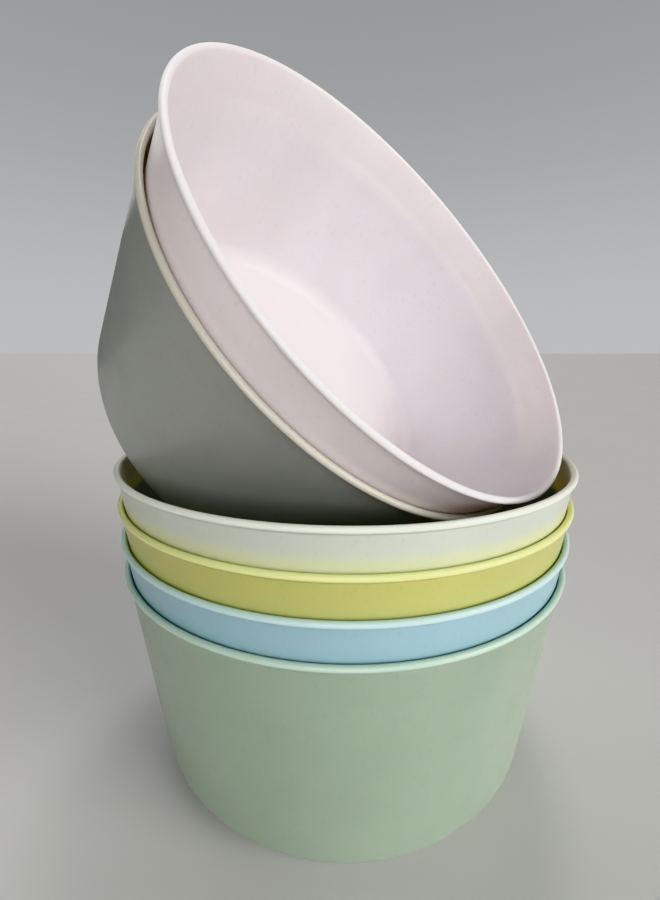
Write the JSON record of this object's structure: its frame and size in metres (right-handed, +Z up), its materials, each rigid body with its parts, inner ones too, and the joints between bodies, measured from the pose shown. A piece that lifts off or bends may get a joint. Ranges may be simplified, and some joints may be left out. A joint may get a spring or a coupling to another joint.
{
  "type": "hair color bowl",
  "caption": "Set of plain round plastic mixing bowls for hair color: some nested upright in a stack and a pair leaning in the top one, mouth to the front.",
  "frame": {"origin": "centre of the lowest bowl's flat base, on the table", "axes": "+Z up, the axis of the upright stack. -Y is the side the picture is taken from and +X is to its right. The leaning pair opens towards +X, -Y and up"},
  "size_m": [0.134, 0.1351, 0.1866],
  "materials": {
    "green_plastic": "satin moulded plastic, pastel, smooth with fine flecks",
    "blue_plastic": "satin moulded plastic, pastel, smooth with fine flecks",
    "yellow_plastic": "satin moulded plastic, pastel, smooth with fine flecks",
    "white_plastic": "satin moulded plastic, pastel, smooth with fine flecks",
    "gray_plastic": "satin moulded plastic, pastel, smooth with fine flecks",
    "pink_plastic": "satin moulded plastic, pastel, smooth with fine flecks"
  },
  "bodies": {
    "green_bowl": {"green_bowl": "green_plastic"},
    "blue_bowl": {"blue_bowl": "blue_plastic"},
    "yellow_bowl": {"yellow_bowl": "yellow_plastic"},
    "white_bowl": {"white_bowl": "white_plastic"},
    "gray_bowl": {"gray_bowl": "gray_plastic"},
    "pink_bowl": {"pink_bowl": "pink_plastic"}
  },
  "joints": [
    {"name": "blue_lift", "type": "slide", "parent": "green_bowl", "child": "blue_bowl", "axis": [0, 0, 1], "range_m": [0, 0.07]},
    {"name": "yellow_lift", "type": "slide", "parent": "blue_bowl", "child": "yellow_bowl", "axis": [0, 0, 1], "range_m": [0, 0.07]},
    {"name": "white_lift", "type": "slide", "parent": "yellow_bowl", "child": "white_bowl", "axis": [0, 0, 1], "range_m": [0, 0.07]},
    {"name": "gray_lift", "type": "slide", "parent": "white_bowl", "child": "gray_bowl", "axis": [0, 0, 1], "range_m": [0, 0.07]},
    {"name": "pink_lift", "type": "slide", "parent": "gray_bowl", "child": "pink_bowl", "axis": [0.6135, -0.5428, 0.5736], "range_m": [0, 0.07]}
  ]
}
